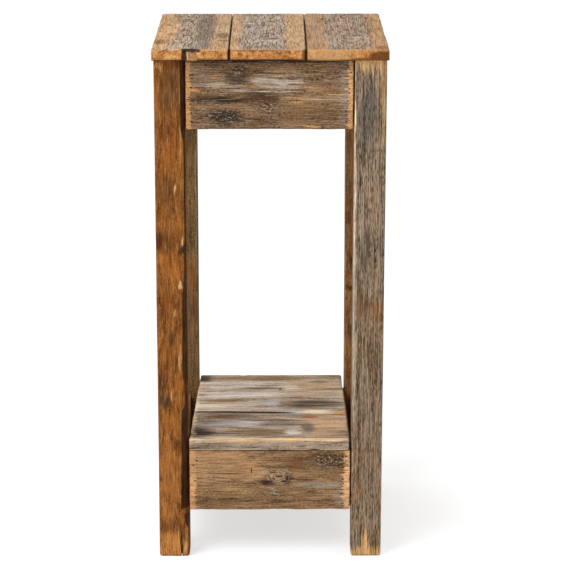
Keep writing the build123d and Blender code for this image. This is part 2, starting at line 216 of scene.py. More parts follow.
def newFinish(name):
    material = bpy.data.materials.new(name)
    material.use_nodes = True
    material.node_tree.nodes.clear()
    return material, material.node_tree


def placeInMillimetres(tree):
    coordinates = addNode(tree, "TexCoord").outputs["Object"]
    return addNode(tree, "VectorMath", {0: coordinates, "Scale": 1000.0}, operation="SCALE")


def streaks(tree, place, grain, along, across, seed, detail=2.0, roughness=0.5):
    # Cloudy streaks so many millimetres long along the grain and wide across it
    size = [1 / along if axis == grain else 1 / across for axis in range(3)]
    start = (seed, 1.7 * seed, 0.6 * seed)
    drawn = addNode(tree, "VectorMath", place, size, start, operation="MULTIPLY_ADD")
    look = {"Vector": drawn, "Scale": 1.0, "Detail": detail, "Roughness": roughness}
    return addNode(tree, "TexNoise", look)


def shaken(tree, place, clouds, reach):
    # The place moved by up to half of reach, in millimetres, by the colours of some clouds
    centred = addNode(tree, "VectorMath", clouds.outputs["Color"], (0.5, 0.5, 0.5), operation="SUBTRACT")
    return addNode(tree, "VectorMath", centred, reach, place, operation="MULTIPLY_ADD")


def reachFrom(tree, place, centre, radii):
    # Distance from a centre in radii of an oval: 1 on its edge
    away = addNode(tree, "VectorMath", place, centre, operation="SUBTRACT")
    scaled = addNode(tree, "VectorMath", away, [1 / radius for radius in radii], operation="MULTIPLY")
    return addNode(tree, "VectorMath", scaled, operation="LENGTH").outputs["Value"]


# Reclaimed pine, sawn rough and left outdoors for decades. The skin is grey or brown and dull, with
# orange wood where it is cut or rubbed, fibres that stand up pale, and fine dark checks along the grain.
# Places and sizes are in millimetres, and a pair of sizes is the length along the grain and the width.

plainPine = {
    "pith": (0.0, 0.0, 0.0),  # a point that the pith passes through
    "pithSlope": (0.0, 0.0),  # its drift across, per mm along the grain
    "ringWidth": 4.2,
    "ringShade": 0.25,
    "ringDrift": 6.0,  # how far rings stray from round
    "driftSize": (90.0, 22.0),
    "sway": (150.0, 34.0),  # of a bend in the grain
    "wander": 3.0,  # and how far it bends
    "fibre": (30.0, 1.2),  # of a fibre as drawn, which is coarser than the real 0.2 mm so that it shows
    "strand": (2.4, 4.4),  # of a bundle of fibres: its length is in fibres, as are the next two
    "hair": (0.8, 1.4),  # of a raised fibre
    "check": (1.7, 1.5),
    "blotch": (42.0, 15.0),
    "grit": (3.6, 1.5),
    "fleck": (3.4, 2.0),  # in torn wood
    "lump": (14.0, 7.0),  # in a knot's outline
    "fray": (30.0, 4.0),  # how far stains fray
    "shades": (1.7, 0.5, 1.1, 1.7),  # how strongly fibres, strands, blotches and grit change the tone
    "fresh": ("#8c5526", "#c58a52"),  # dark and light
    "grey": ("#55422f", "#aa9278"),
    "greyShare": 1.0,
    "faceAxis": 0,
    "freshEdges": (0.0, 0.0),  # width of fresh wood along the low and the high edge of the face
    "freshEnds": 0.0,
    "ragged": (34.0, 12.0),  # how far the grey skin's border strays beside the edges and the ends
    "raggedSize": (55.0, 8.0),
    "thinSize": (70.0, 12.0),  # of a place where the skin is thin
    "rub": ("#c9925c", 1.0, 0.2),  # colour, reach and share on the arrises
    "pale": ("#d8c6b0", 0.3),  # colour and share of the raised fibres, and below it of the checks
    "checks": ("#35251a", 0.5),
    "hairLevels": (0.55, 0.66),  # of the clouds, where raised fibres begin to show and show fully
    "checkLevels": (0.43, 0.33),  # and where checks do
    "tornFlecks": ((0.52, 0.40, 0.8, "checks"), (0.58, 0.66, 0.9, "pale")),  # (from, to, share, colour of)
    "sawn": False,  # whether saw marks show
    "sawStroke": 4.4,  # from one saw mark to the next
    "knotTurns": 21.0,  # radians of ripple in a knot's radius
    "knots": (),  # (centre, radii, radii of the heart, colour of the heart)
    "patches": (),  # (centre, radii, colour, share)
    "torn": (),  # (centre, radii) where the surface is torn into light and dark flecks
    "cracks": (),  # (centre, radii)
    "crackShade": "#2b1c10",
    "dirt": (),  # (centre, radii) of dirt in a seam, and of darkening along the bottom of a foot
    "dirtShade": "#3a230f",
    "bark": ("#221004", "#5c3a1c"),
    "barkSize": (30.0, 3.5),
    "endGrain": ("#da9350", 1.0),
    "endRings": "#8a5527",
    "smudge": (400.0, 7.0),  # of a smudge and a pit in the end grain
    "pit": (400.0, 1.5),
    "smudges": ((0.50, 0.68, 0.9, "#8a4f1e"), (0.47, 0.32, 0.8, "#f0bd7c")),  # (from, to, share, colour)
    "pits": ((0.56, 0.66, 0.9, "#562a0a"), (0.42, 0.33, 0.7, "#fcd49c")),
    "endPatches": (),
    "relief": {  # how far each stands up or lies deep
        "fibres": 1.2,
        "strands": 1.0,
        "rings": 0.25,
        "checks": -0.35,
        "torn": 2.5,
        "cracks": -0.8,
        "sawMarks": 0.05,
    },
    "roughness": (0.92, 0.76),  # between strands and on them
    "lustre": 0.2,
    "seed": 0.0,
}

smooth = {"interpolation_type": "SMOOTHSTEP"}


def grainOf(tree, look, grain):
    # Where a board's grain runs, and the clouds that are drawn along it
    seed = look["seed"]
    place = placeInMillimetres(tree)
    wood = SimpleNamespace(tree=tree, look=look, grain=grain, seed=seed, place=place)
    wood.arris = addNode(tree, "Attribute", attribute_name="arris").outputs["Fac"]
    wood.endGap = addNode(tree, "Attribute", attribute_name="endGap").outputs["Fac"]

    # It wanders, and what is drawn on the board goes with it
    sway = streaks(tree, place, grain, *look["sway"], seed)
    wood.swayed = shaken(tree, place, sway, [2 * look["wander"]] * 3)

    # It flows round the knots as water does round a post
    lumps = streaks(tree, place, grain, *look["lump"], seed + 27)
    wood.bent = wood.swayed
    wood.knots = []
    for centre, radii, heartRadii, knotColour in look["knots"]:
        lumpy = shaken(tree, wood.swayed, lumps, [1.1 * radius for radius in radii])
        reach = reachFrom(tree, lumpy, centre, radii)
        wood.knots.append((reach, reachFrom(tree, wood.swayed, centre, heartRadii), knotColour))
        pull = addNode(tree, "Math", reach, -2.0, operation="POWER")
        kept = addNode(tree, "MapRange", pull, 0.0, 1.0, 1.0, 0.0)
        away = addNode(tree, "VectorMath", wood.bent, centre, operation="SUBTRACT")
        wood.bent = addNode(tree, "VectorMath", away, kept, centre, operation="MULTIPLY_ADD")

    length, width = look["fibre"]
    fibresLong, strandWidth = look["strand"]
    wood.fibres = streaks(tree, wood.bent, grain, length, width, seed, 2.0, 0.6)
    wood.strands = streaks(tree, wood.bent, grain, fibresLong * length, strandWidth, seed + 9, 3.0, 0.55)
    wood.blotches = streaks(tree, wood.swayed, grain, *look["blotch"], seed + 15, 4.0, 0.6)
    wood.grit = streaks(tree, place, grain, *look["grit"], seed + 18, 1.0)
    wood.flecks = streaks(tree, place, grain, *look["fleck"], seed + 71, 2.0, 0.7)
    wood.ragged = streaks(tree, wood.bent, grain, *look["raggedSize"], seed + 21, 4.0, 0.6)
    fray = [look["fray"][0 if axis == grain else 1] for axis in range(3)]
    wood.frayed = shaken(tree, wood.swayed, wood.strands, fray)
    return wood


def lateWoodOf(wood):
    # Rings by distance from the pith: dark late wood comes on slowly in each and ends sharply
    tree, look, grain = wood.tree, wood.look, wood.grain
    across = [axis for axis in range(3) if axis != grain]
    fromPith = addNode(tree, "VectorMath", wood.bent, look["pith"], operation="SUBTRACT")
    parts = addNode(tree, "SeparateXYZ", fromPith).outputs
    sides = [
        addNode(tree, "Math", parts[grain], -slope, parts[axis], operation="MULTIPLY_ADD")
        for axis, slope in zip(across, look["pithSlope"])
    ]
    flat = addNode(tree, "CombineXYZ", sides[0], sides[1])
    radius = addNode(tree, "VectorMath", flat, operation="LENGTH").outputs["Value"]
    drift = streaks(tree, wood.place, grain, *look["driftSize"], wood.seed + 4)
    radius = addNode(tree, "Math", drift, look["ringDrift"], radius, operation="MULTIPLY_ADD")
    rings = addNode(tree, "Math", radius, 1 / look["ringWidth"], operation="MULTIPLY")
    ring = addNode(tree, "Math", rings, operation="FRACT")
    rise = addNode(tree, "MapRange", ring, 0.6, 0.85, **smooth)
    fall = addNode(tree, "MapRange", ring, 1.0, 0.88, **smooth)
    return addNode(tree, "Math", rise, fall, operation="MULTIPLY")


def toneOf(wood):
    # From dark (0) to light (1)
    clouds = (wood.fibres, wood.strands, wood.blotches, wood.grit)
    tone = 0.5 - 0.5 * sum(wood.look["shades"])
    for cloud, strength in zip(clouds, wood.look["shades"]):
        tone = addNode(wood.tree, "Math", cloud, strength, tone, operation="MULTIPLY_ADD")
    return tone


def greySkinOf(wood, node):
    # The grey skin's share, which ends raggedly towards the face's edges and the board's ends
    tree, look = wood.tree, wood.look
    thin = streaks(tree, wood.bent, wood.grain, *look["thinSize"], wood.seed + 33, 4.0, 0.6)
    skin = addNode(tree, "MapRange", thin, 0.3, 0.46, 0.7 * look["greyShare"], look["greyShare"])
    low, high = (1000 * corner[look["faceAxis"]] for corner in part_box(node))
    byEdge, byEnd = look["ragged"]
    facePlace = addNode(tree, "SeparateXYZ", wood.place).outputs[look["faceAxis"]]
    raggedFace = addNode(tree, "Math", wood.ragged, byEdge, facePlace, operation="MULTIPLY_ADD")
    limits = []
    if look["freshEdges"][0]:
        limits.append((raggedFace, low + look["freshEdges"][0] + byEdge / 2, 5.0))
    if look["freshEdges"][1]:
        limits.append((raggedFace, high - look["freshEdges"][1] + byEdge / 2, -5.0))
    if look["freshEnds"]:
        raggedEnd = addNode(tree, "Math", wood.ragged, byEnd, wood.endGap, operation="MULTIPLY_ADD")
        limits.append((raggedEnd, look["freshEnds"] + byEnd / 2, 1.5))
    for border, limit, soft in limits:
        ends = {0: border, 1: limit - soft, 2: limit + soft}
        inside = addNode(tree, "MapRange", ends, **smooth)
        skin = addNode(tree, "Math", skin, inside, operation="MULTIPLY")
    return skin


def barePine(wood, node):
    # Fresh wood where the grey skin is missing
    tree, look = wood.tree, wood.look
    mixed = []
    for pair, share in ((look["fresh"], 0.3), (look["grey"], 1.0)):
        shade = share * look["ringShade"]
        lined = addNode(tree, "Math", wood.lateWood, -shade, wood.tone, operation="MULTIPLY_ADD")
        clear = addNode(tree, "MapRange", lined, -0.2 * shade, 1 - 0.2 * shade)
        mixed.append(addNode(tree, "Mix", {0: clear, 6: pair[0], 7: pair[1]}, data_type="RGBA"))
    return addNode(tree, "Mix", {0: greySkinOf(wood, node), 6: mixed[0], 7: mixed[1]}, data_type="RGBA")


# Each of these gives layers, as a mask and the colour that it lays over what is there, and names what
# stands up or lies deep in the wood's relief


def stains(wood):
    # They fray along the fibres and keep the light and dark of the wood
    tree = wood.tree
    through = addNode(tree, "MapRange", wood.fibres, 0.36, 0.54, 0.7, 1.0)
    lightness = addNode(tree, "MapRange", wood.tone, 0.0, 1.0, 0.68, 1.26)
    layers = []
    for centre, radii, patchColour, share in wood.look["patches"]:
        reach = reachFrom(tree, wood.frayed, centre, radii)
        uneven = addNode(tree, "Math", wood.blotches, -1.2, reach, operation="MULTIPLY_ADD")
        uneven = addNode(tree, "Math", wood.fibres, -1.6, uneven, operation="MULTIPLY_ADD")
        mask = addNode(tree, "MapRange", uneven, -0.1, -0.9, 0.0, share, **smooth)
        tinted = {0: lightness, 6: "#000000", 7: patchColour}
        stained = addNode(tree, "Mix", tinted, data_type="RGBA", clamp_factor=False)
        layers.append((addNode(tree, "Math", mask, through, operation="MULTIPLY"), stained))
    return layers


def hairsAndChecks(wood):
    # Pale raised fibres and dark checks
    tree, look, grain = wood.tree, wood.look, wood.grain
    length = look["fibre"][0]
    hairLong, hairWidth = look["hair"]
    hairs = streaks(tree, wood.bent, grain, hairLong * length, hairWidth, wood.seed + 52, 2.0, 0.6)
    raised = addNode(tree, "MapRange", hairs, *look["hairLevels"], 0.0, look["pale"][1])
    checkLong, checkWidth = look["check"]
    splits = streaks(tree, wood.bent, grain, checkLong * length, checkWidth, wood.seed + 41, 2.0, 0.6)
    checked = addNode(tree, "MapRange", splits, *look["checkLevels"], 0.0, look["checks"][1])
    wood.relief.append((checked, "checks"))
    return [(raised, look["pale"][0]), (checked, look["checks"][0])]


def tornPlaces(wood):
    # Wood torn into dark and pale flecks
    tree, look = wood.tree, wood.look
    layers = []
    for centre, radii in look["torn"]:
        reach = reachFrom(tree, wood.frayed, centre, radii)
        uneven = addNode(tree, "Math", wood.blotches, -1.5, reach, operation="MULTIPLY_ADD")
        mask = addNode(tree, "MapRange", uneven, 0.7, -0.2, **smooth)
        for start, end, share, kind in look["tornFlecks"]:
            fleck = addNode(tree, "MapRange", wood.flecks, start, end, 0.0, share)
            layers.append((addNode(tree, "Math", fleck, mask, operation="MULTIPLY"), look[kind][0]))
        wood.relief.append((addNode(tree, "Math", wood.flecks, mask, operation="MULTIPLY"), "torn"))
    return layers


def knotRings(wood):
    # A dark heart, with fine broken rings in it and in the pale twisted fibres around it
    tree, look = wood.tree, wood.look
    layers = []
    for reach, heartReach, knotColour in wood.knots:
        turns = addNode(tree, "Math", reach, look["knotTurns"], operation="MULTIPLY")
        wave = addNode(tree, "Math", turns, operation="SINE")
        breaks = addNode(tree, "Math", wood.flecks, 5.0, -2.5, operation="MULTIPLY_ADD")
        broken = addNode(tree, "Math", wave, breaks)
        halo = addNode(tree, "MapRange", reach, 1.7, 0.9, 0.0, 0.4, **smooth)
        layers.append((halo, look["pale"][0]))
        around = addNode(tree, "MapRange", reach, 1.7, 1.1, **smooth)
        line = addNode(tree, "MapRange", broken, -0.2, 0.9, 0.0, 0.75)
        layers.append((addNode(tree, "Math", line, around, operation="MULTIPLY"), look["checks"][0]))
        heart = addNode(tree, "MapRange", heartReach, 1.2, 0.7, 0.0, 0.9, **smooth)
        layers.append((heart, knotColour))
    return layers


def rubbedArrises(wood):
    # Arrises rubbed down to fresh wood
    rubColour, rubReach, rubShare = wood.look["rub"]
    edge = addNode(wood.tree, "Math", wood.ragged, -5.0 * rubReach, wood.arris, operation="MULTIPLY_ADD")
    ends = {0: edge, 1: -1.2 * rubReach, 2: -2.2 * rubReach, 4: rubShare}
    return [(addNode(wood.tree, "MapRange", ends, **smooth), rubColour)]


def endGrain(wood):
    # Orange and pitted, with only a hint of the rings
    tree, look, grain = wood.tree, wood.look, wood.grain
    colour, endShare = look["endGrain"]
    pits = streaks(tree, wood.place, grain, *look["pit"], wood.seed + 80, 3.0, 0.7)
    smudges = streaks(tree, wood.place, grain, *look["smudge"], wood.seed + 84, 2.0, 0.6)
    for clouds, marks in ((smudges, look["smudges"]), (pits, look["pits"])):
        for start, end, share, markColour in marks:
            mark = addNode(tree, "MapRange", clouds, start, end, 0.0, share)
            colour = addNode(tree, "Mix", {0: mark, 6: colour, 7: markColour}, data_type="RGBA")
    hint = addNode(tree, "Math", wood.lateWood, 0.25, operation="MULTIPLY")
    colour = addNode(tree, "Mix", {0: hint, 6: colour, 7: look["endRings"]}, data_type="RGBA")
    for centre, radii, patchColour, share in look["endPatches"]:
        reach = reachFrom(tree, wood.place, centre, radii)
        mask = addNode(tree, "MapRange", reach, 1.3, 0.7, 0.0, share, **smooth)
        colour = addNode(tree, "Mix", {0: mask, 6: colour, 7: patchColour}, data_type="RGBA")
    return [(addNode(tree, "MapRange", wood.endGap, 1.0, 0.3, 0.0, endShare), colour)]


def cracksAndDirt(wood):
    # Cracks go with the grain, and dirt in a seam and the darkening along a foot lie straight
    tree, look = wood.tree, wood.look
    layers = []
    for centre, radii in look["cracks"]:
        reach = reachFrom(tree, wood.swayed, centre, radii)
        crack = addNode(tree, "MapRange", reach, 1.15, 0.7, 0.0, 0.92, **smooth)
        layers.append((crack, look["crackShade"]))
        wood.relief.append((crack, "cracks"))
    for centre, radii in look["dirt"]:
        reach = reachFrom(tree, wood.place, centre, radii)
        filled = addNode(tree, "MapRange", reach, 1.2, 0.6, 0.0, 0.95, **smooth)
        layers.append((filled, look["dirtShade"]))
    return layers


def barkEdge(wood):
    # Dark bark with long flat scales, which only the leg with a bark edge has
    tree = wood.tree
    dark, light = wood.look["bark"]
    bark = addNode(tree, "Attribute", attribute_name="bark").outputs["Fac"]
    scales = streaks(tree, wood.place, wood.grain, *wood.look["barkSize"], wood.seed + 60, 3.0, 0.6)
    barkTone = addNode(tree, "MapRange", scales, 0.32, 0.66)
    return [(bark, addNode(tree, "Mix", {0: barkTone, 6: dark, 7: light}, data_type="RGBA"))]


def sawMarks(wood):
    # Shallow ridges across the grain, left by the saw
    along = addNode(wood.tree, "SeparateXYZ", wood.bent).outputs[wood.grain]
    turns = 2 * math.pi / wood.look["sawStroke"]
    stroke = addNode(wood.tree, "Math", along, turns, operation="MULTIPLY")
    wood.relief.append((addNode(wood.tree, "Math", stroke, operation="SINE"), "sawMarks"))


layerMakers = (  # from the lowest layer to the highest
    stains,
    hairsAndChecks,
    tornPlaces,
    knotRings,
    rubbedArrises,
    endGrain,
    cracksAndDirt,
    barkEdge,
)


def agedPine(name, node, grain, changes):
    material, tree = newFinish(name)
    look = {**plainPine, **changes}
    wood = grainOf(tree, look, grain)
    wood.lateWood = lateWoodOf(wood)
    wood.tone = toneOf(wood)
    wood.relief = [(wood.fibres, "fibres"), (wood.strands, "strands"), (wood.lateWood, "rings")]
    colour = barePine(wood, node)
    for layersOf in layerMakers:
        for mask, layerColour in layersOf(wood):
            colour = addNode(tree, "Mix", {0: mask, 6: colour, 7: layerColour}, data_type="RGBA")
    if look["sawn"]:
        sawMarks(wood)
    height = 0.0
    for raised, kind in wood.relief:
        height = addNode(tree, "Math", raised, look["relief"][kind], height, operation="MULTIPLY_ADD")
    surface = {
        "Base Color": colour,
        "Roughness": addNode(tree, "MapRange", wood.strands, 0.3, 0.7, *look["roughness"]),
        "Normal": addNode(tree, "Bump", {"Height": height, "Distance": 0.001, "Strength": 0.9}),
        "IOR": 1.45,
        "Specular IOR Level": look["lustre"],
    }
    addNode(tree, "OutputMaterial", addNode(tree, "BsdfPrincipled", surface))
    return material


uprightGrain, sidewaysGrain, lengthwaysGrain = 2, 0, 1


def marksOn(axis, level, *marks):
    # Marks on a face, which may leave out the coordinate that is the face's own level
    placed = []
    for place, *rest in marks:
        if len(place) == 2:
            place = (*place[:axis], level, *place[axis:])
        placed.append((place, *rest))
    return tuple(placed)


onTop = partial(marksOn, 2, 762)
onShelf = partial(marksOn, 2, 182)
onLeg = partial(marksOn, 1, -172)
onApron = partial(marksOn, 1, -170)

topLook = {
    "fibre": (80.0, 1.4),
    "grit": (34.0, 1.7),
    "shades": (1.9, 0.6, 1.2, 1.8),
    "freshEnds": 1.0,
}

topEndPaintedHighlightAndShade = (  # painted light and shade on the front ends: a painted highlight along the top arris, painted shade darkening towards the underside, and a painted shadow line at the bottom
    ((0, -184, 761.5), (200, 60, 1.6), "#efc28c", 0.5),
    ((0, -184, 744.5), (200, 60, 5.0), "#9a6431", 0.55),
    ((0, -184, 745.0), (200, 60, 2.3), "#2e1909", 1.0),
)

shelfLook = {
    "faceAxis": 1,
    "wander": 2.0,
    "fibre": (40.0, 2.0),
    "shades": (1.3, 0.9, 2.5, 1.3),
    "endGrain": ("#bd9468", 0.5),
}

topLeftLook = {
    **topLook,
    "seed": 3.0,
    "sway": (60.0, 22.0),
    "wander": 6.0,
    "pith": (-128.0, 0.0, 742.0),
    "pithSlope": (0.03, 0.06),
    "ringWidth": 3.2,
    "ringShade": 0.75,
    "ringDrift": 2.0,
    "grey": ("#54432f", "#d8bea5"),
    "fresh": ("#a6784c", "#e6bf94"),
    "freshEdges": (20.0, 27.0),
    "patches": onTop(
        ((-95, 40), (14, 190, 8), "#7a6a5b", 0.8),  # darker grey half
        ((-72, 10), (9, 120, 8), "#c4a888", 0.5),
        ((-164, 21), (12, 4, 8), "#3f2712", 1.0),  # dark nick at the outer edge
        ((-150, 20), (16, 170, 8), "#e0b07e", 0.8),  # clean strip by the outer edge
        ((-157, -112), (10, 24, 8), "#8a5226", 0.9),
        ((-69, -52), (10, 26, 8), "#86623f", 1.0),
        ((-66, -100), (10, 10, 8), "#94704c", 1.0),
        ((-152, 60), (7, 8, 8), "#9a6a40", 0.9),
        ((-146, -40), (5, 12, 8), "#a87a50", 0.8),
        ((-108, -140), (3, 26, 8), "#e6d3bd", 0.9),
        ((-70, 130), (10, 50, 8), "#d0ab85", 0.5),
        ((-106, -150), (12, 30, 8), "#807774", 0.6),
        ((-106, -184, 748), (14, 12, 11), "#b97a42", 1.0),  # below the bark pocket
        ((-116.5, -181, 753), (1.2, 30, 8), "#f0c48c", 1.0),
    ),
    "cracks": (
        ((-114, -182, 761), (14, 5, 6)),  # bark pocket
        ((-121, -182, 751), (5, 6, 10)),
    ),
    "dirt": (((-59.1, 0, 752), (1.2, 260, 30)), ((-58.6, -184, 752), (2.0, 12, 24))),
    "endPatches": topEndPaintedHighlightAndShade
    + (
        ((-106, -184, 755.5), (8, 30, 1.1), "#f2c68e", 0.9),
        ((-106, -184, 760), (8, 30, 3), "#3a2616", 0.95),
        ((-100, -184, 747), (5, 4, 2.5), "#68401f", 0.5),
    ),
}

topMiddleLook = {
    **topLook,
    "seed": 7.0,
    "sway": (80.0, 24.0),
    "wander": 4.0,
    "pith": (-5.0, 0.0, 715.0),
    "pithSlope": (0.02, -0.08),
    "ringWidth": 3.0,
    "ringShade": 0.4,
    "grey": ("#5a4634", "#d8c1ab"),
    "fresh": ("#ab7d51", "#e7c299"),
    "freshEdges": (15.0, 30.0),
    "knots": onTop(
        ((-33, 54), (10, 9, 14), (5, 4, 9), "#43301f"),
        ((5, -84), (13, 14, 14), (8, 5, 9), "#4f3c2b"),
    ),
    "patches": onTop(
        ((-20, 55), (22, 3.5, 6), "#4f3b2a", 0.9),  # dark check through the knot
        ((-28, 68), (12, 6, 6), "#dccbb8", 0.9),
        ((3, -106), (14, 9, 6), "#dccdbd", 0.9),
        ((4, 93), (5, 12, 6), "#6d5a48", 0.7),
        ((-24, -5), (13, 36, 6), "#b9aba4", 0.7),
        ((-46, 20), (7, 30, 6), "#cfa47b", 0.6),
    ),
    "dirt": (
        ((-58.2, 0, 752), (1.1, 260, 30)),
        ((50.9, 0, 752), (1.1, 260, 30)),
        ((-57.5, -184, 752), (1.5, 12, 24)),
        ((49.9, -184, 752), (2.0, 12, 24)),
    ),
    "endPatches": topEndPaintedHighlightAndShade
    + (
        ((47.5, -184, 753), (3.0, 6, 14), "#7a4a20", 0.8),
        ((-20, -184, 760), (40, 6, 1.6), "#7c4c22", 0.6),
    ),
}

topRightLook = {
    **topLook,
    "seed": 11.0,
    "sway": (110.0, 26.0),
    "wander": 3.0,
    "pith": (112.0, 0.0, 738.0),
    "pithSlope": (-0.02, 0.09),
    "ringWidth": 2.7,
    "ringShade": 0.45,
    "grey": ("#57412c", "#ceb398"),
    "fresh": ("#9c6e40", "#dcb083"),
    "freshEdges": (28.0, 24.0),
    "knots": onTop(
        ((128, -50), (13, 14, 14), (8, 5, 9), "#4f3b28"),
        ((117, -120), (5, 8, 14), (2.5, 4, 9), "#5f4a37"),
    ),
    "patches": onTop(
        ((64, 0), (12, 180, 6), "#a98a70", 0.5),  # pinkish strip beside the seam
        ((124, -70), (12, 8, 6), "#d6c7b4", 0.8),
        ((78, 118), (3, 14, 6), "#553620", 0.9),
        ((73, 95), (3, 7, 6), "#5e3f27", 0.8),
        ((146, 129), (3, 14, 6), "#5f3c22", 0.9),
        ((157, 102), (5, 9, 6), "#93613a", 0.7),
        ((158, -170), (10, 16, 6), "#8a5128", 0.8),
    ),
    "dirt": (((51.8, 0, 752), (1.2, 260, 30)), ((51.0, -184, 752), (1.4, 12, 24))),
    "endPatches": topEndPaintedHighlightAndShade
    + (
        ((80, -184, 754), (36, 6, 10), "#dbae78", 0.5),
        ((160, -184, 751), (22, 8, 8), "#6b3d18", 0.9),  # brown stain at the outer end
        ((132, -184, 747), (16, 8, 3), "#7d4b20", 0.7),
    ),
}

frontLeftLegLook = {
    "seed": 1.0,
    "fibre": (24.0, 1.7),
    "blotch": (30.0, 10.0),
    "shades": (1.3, 0.8, 2.0, 1.1),
    "pith": (-190.0, -120.0, 0.0),
    "pithSlope": (0.01, 0.02),
    "ringShade": 0.15,
    "wander": 4.0,
    "fresh": ("#602e0c", "#c07630"),
    "grey": ("#4f2c0c", "#97612c"),
    "greyShare": 0.5,
    "rub": ("#c98d52", 0.8, 0.3),
    "pale": ("#d9a468", 0.3),
    "checks": ("#3f1e08", 0.35),
    # darker along the bottom of the foot
    "dirt": (((-143, -160, -0.6), (60, 60, 2.4)),),
    "patches": onLeg(
        ((-143, 700), (16, 12, 34), "#624224", 0.8),  # dull at the top
        ((-159, 734), (7, 12, 5), "#c38c4e", 0.8),
        ((-128.5, 660), (1.2, 3, 80), "#c9935c", 0.8),  # light line beside the bark
        ((-140, 612), (12, 12, 40), "#a05c22", 0.5),
        ((-148, 556), (16, 12, 22), "#5c3c1a", 0.6),
        ((-137, 560), (1.6, 4, 8), "#d9a468", 1.0),
        ((-158, 520), (6, 12, 14), "#7c3f12", 0.6),
        ((-159, 482), (7, 14, 16), "#42200a", 0.9),
        ((-146, 470), (10, 10, 12), "#6a3c14", 0.6),
        ((-146, 440), (14, 20, 22), "#b06828", 0.6),
        ((-132, 415), (3.6, 5, 4.5), "#e0b684", 1.0),  # pale chip
        ((-127, 480), (1.5, 5, 9), "#e0b684", 1.0),
        ((-129.5, 468), (3.5, 6, 8), "#2a1405", 1.0),
        ((-140.5, 373), (2.0, 4, 6), "#d9a468", 0.9),
        ((-150, 390), (12, 10, 14), "#8a4a18", 0.6),
        ((-145, 336), (7, 8, 11), "#583818", 0.8),
        ((-132, 300), (2.2, 8, 22), "#d29c60", 0.9),  # light flame
        ((-138, 296), (2.6, 8, 22), "#4f2c0e", 0.8),
        ((-134, 272), (8, 10, 18), "#ad6526", 0.6),
        ((-160, 268), (6, 12, 18), "#3a1e08", 0.8),
        ((-156, 241), (9, 12, 10), "#4e3a28", 0.95),  # grey-brown knot
        ((-146, 243), (1.6, 6, 7), "#dba874", 0.9),
        ((-150, 205), (14, 16, 22), "#b8722f", 0.6),
        ((-144, 178), (7, 12, 9), "#6b4522", 0.7),
        ((-150, 120), (20, 16, 70), "#b9763a", 0.6),
        ((-150, 46), (14, 12, 9), "#6f421a", 0.6),
        ((-148, 14), (26, 20, 22), "#d28d4a", 0.9),
        ((-132, 22), (2.0, 8, 26), "#341a08", 1.0),
        ((-126, 22), (1.6, 6, 20), "#dba265", 0.8),
    ),
}

frontRightLegLook = {
    "seed": 5.0,
    "fibre": (45.0, 1.3),
    "grit": (8.0, 1.2),
    "shades": (3.0, 0.2, 0.7, 2.6),
    "pith": (150.0, -60.0, 0.0),
    "ringWidth": 2.9,
    "ringShade": 0.45,
    "ringDrift": 3.0,
    "wander": 1.4,
    "blotch": (36.0, 9.0),
    "grey": ("#3b2c1f", "#ae957c"),
    "fresh": ("#94683c", "#dcb07a"),
    "rub": ("#d2a878", 0.7, 0.3),
    "pale": ("#d2c0a8", 0.4),
    "checks": ("#2a1d13", 0.6),
    # darker along the bottom of the foot
    "dirt": (((143, -160, -0.6), (60, 60, 2.4)),),
    "patches": onLeg(
        ((143, 754), (50, 34, 24), "#f2c286", 1.0),  # fresh wood under the top
        ((143, 750), (40, 34, 14), "#f6ca90", 1.0),
        ((162, 690), (5, 14, 66), "#bd935e", 0.9),  # golden strip down the outer edge
        ((138, 664), (14, 12, 50), "#5e554f", 0.75),
        ((119.4, 480), (2.4, 4, 300), "#f6dfc2", 1.0),  # painted highlight on the inner arris, which faces the light
        ((166.6, -171, 330), (3.4, 6, 420), "#2c1e14", 1.0),  # painted shade on the outer arris, which faces away from the light
        # the painted highlight goes on lower down the inner arris
        ((121, 330), (4.0, 4, 110), "#d3c0aa", 0.9),
        ((148, 250), (40, 14, 220), "#826648", 0.4),  # browner towards the foot
        ((137, 466), (7, 8, 36), "#54443a", 0.7),
        ((124, 470), (4, 8, 60), "#a89680", 0.5),
        ((156, 376), (9, 14, 16), "#a06230", 0.8),  # rust-orange patch
        ((134, 384), (14, 14, 18), "#7d5634", 0.7),
        ((127, 104), (6, 12, 18), "#9c6f42", 0.8),
        ((141, -2), (36, 34, 16), "#e4ac6a", 1.0),
        ((138, 14), (5, 14, 26), "#e6b476", 1.0),
        ((158, 75), (2.4, 10, 5), "#b5733c", 1.0),
    ),
}

rearLeftLegLook = {
    "seed": 9.0,
    "pith": (-150.0, 60.0, 0.0),
    "grey": ("#46331b", "#96764c"),
    "pale": ("#a88a62", 0.25),
    "patches": (
        ((-120, 130, 352), (10, 12, 32), "#8f592c", 0.9),  # orange where the skin is rubbed off
        ((-120, 130, 300), (10, 12, 20), "#6f4829", 0.7),
        # painted shade on the inner side, which faces away from the light
        ((-113, 130, 480), (1.5, 30, 420), "#3a2814", 0.9),
        ((-116, 130, 560), (0.9, 12, 220), "#ab8f6a", 0.8),
    ),
}

rearRightLegLook = {
    "seed": 13.0,
    "pith": (150.0, 60.0, 0.0),
    "grey": ("#482c12", "#a8753c"),
    "greyShare": 0.75,
    "patches": (
        ((115, 132, 450), (2.2, 12, 330), "#b9a083", 0.8),  # painted highlight on the inner arris, which faces the light
        ((130, 132, 560), (8, 12, 60), "#a8763f", 0.7),
        ((127, 132, 379), (5, 12, 12), "#2c1a0a", 0.9),
        ((126, 132, 353), (7, 12, 12), "#a4602c", 0.9),
        ((125, 132, 337), (8, 12, 5), "#2a1808", 0.9),
        ((128, 132, 262), (6, 12, 16), "#2f1b0a", 0.8),
        ((125, 132, 436), (7, 12, 9), "#a8703a", 0.8),
    ),
}

